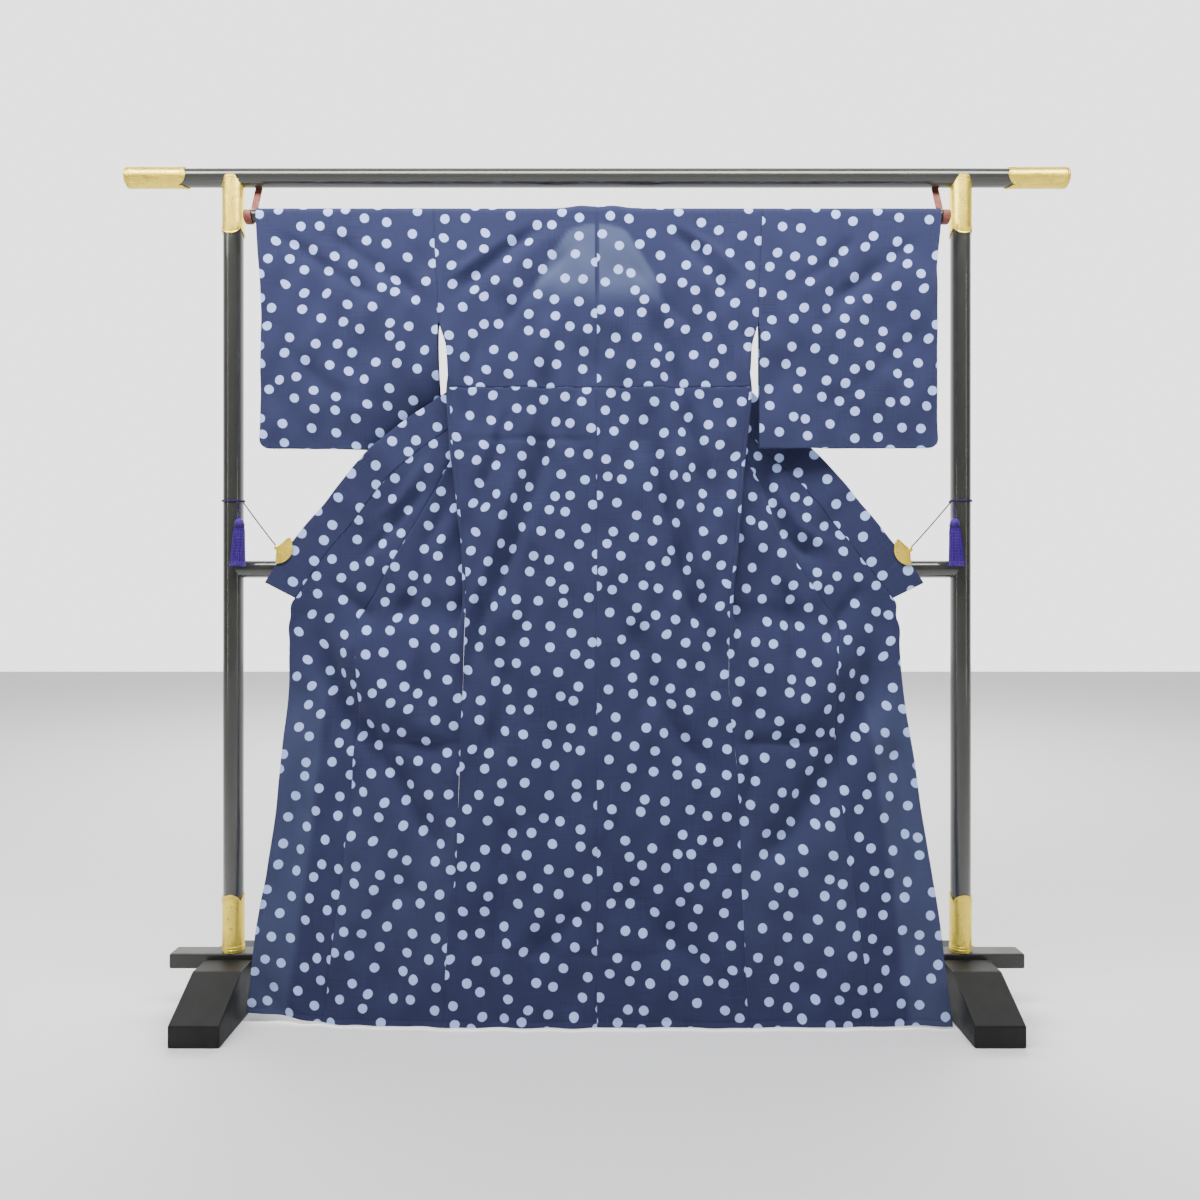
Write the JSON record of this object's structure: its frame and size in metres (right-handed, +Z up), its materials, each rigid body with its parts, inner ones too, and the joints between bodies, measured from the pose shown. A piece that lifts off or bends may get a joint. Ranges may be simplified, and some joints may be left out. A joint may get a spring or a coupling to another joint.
{
  "type": "yukata robe on kimono stand",
  "caption": "Cotton summer kimono hung back-outwards on a lacquered stand, its open fronts spread by fan clips",
  "frame": {"origin": "on the floor under the middle of the stand, halfway between the front and back ends of its feet", "axes": "+X to the right as the robe's back is looked at, along the rail; +Y away from that viewer; +Z up"},
  "size_m": [1.8816, 0.388, 1.673],
  "materials": {
    "cotton": "matte plain weave, navy with scattered pale dots",
    "lacquer": "black gloss lacquer on wood",
    "rod": "dark satin lacquer on wood",
    "strap": "reddish-brown strap",
    "gilt": "gilt, lightly brushed",
    "cord": "purple twisted silk"
  },
  "bodies": {
    "root": {"back_left_upper": "cotton", "back_left_lower": "cotton", "back_right_upper": "cotton", "back_right_lower": "cotton", "front_left": "cotton", "front_right": "cotton", "okumi_left": "cotton", "okumi_right": "cotton", "sleeve_left_back": "cotton", "sleeve_left_front": "cotton", "sleeve_right_back": "cotton", "sleeve_right_front": "cotton", "collar_left": "cotton", "collar_nape": "cotton", "collar_right": "cotton", "rod": "rod", "hook_left": "strap", "hook_right": "strap", "rail": "lacquer", "rail_cap_left": "gilt", "rail_cap_right": "gilt", "post_left": "lacquer", "post_right": "lacquer", "crossbar": "lacquer", "ferrule_top_left": "gilt", "ferrule_top_right": "gilt", "ferrule_bottom_left": "gilt", "ferrule_bottom_right": "gilt", "foot_left": "lacquer", "foot_right": "lacquer", "cross_plate_left": "lacquer", "cross_plate_right": "lacquer", "clip_left": "gilt", "clip_right": "gilt", "clip_cord_left": "cord", "clip_cord_right": "cord", "cord_wrap_left": "cord", "cord_wrap_right": "cord", "tassel_left": "cord", "tassel_right": "cord"}
  },
  "joints": []
}
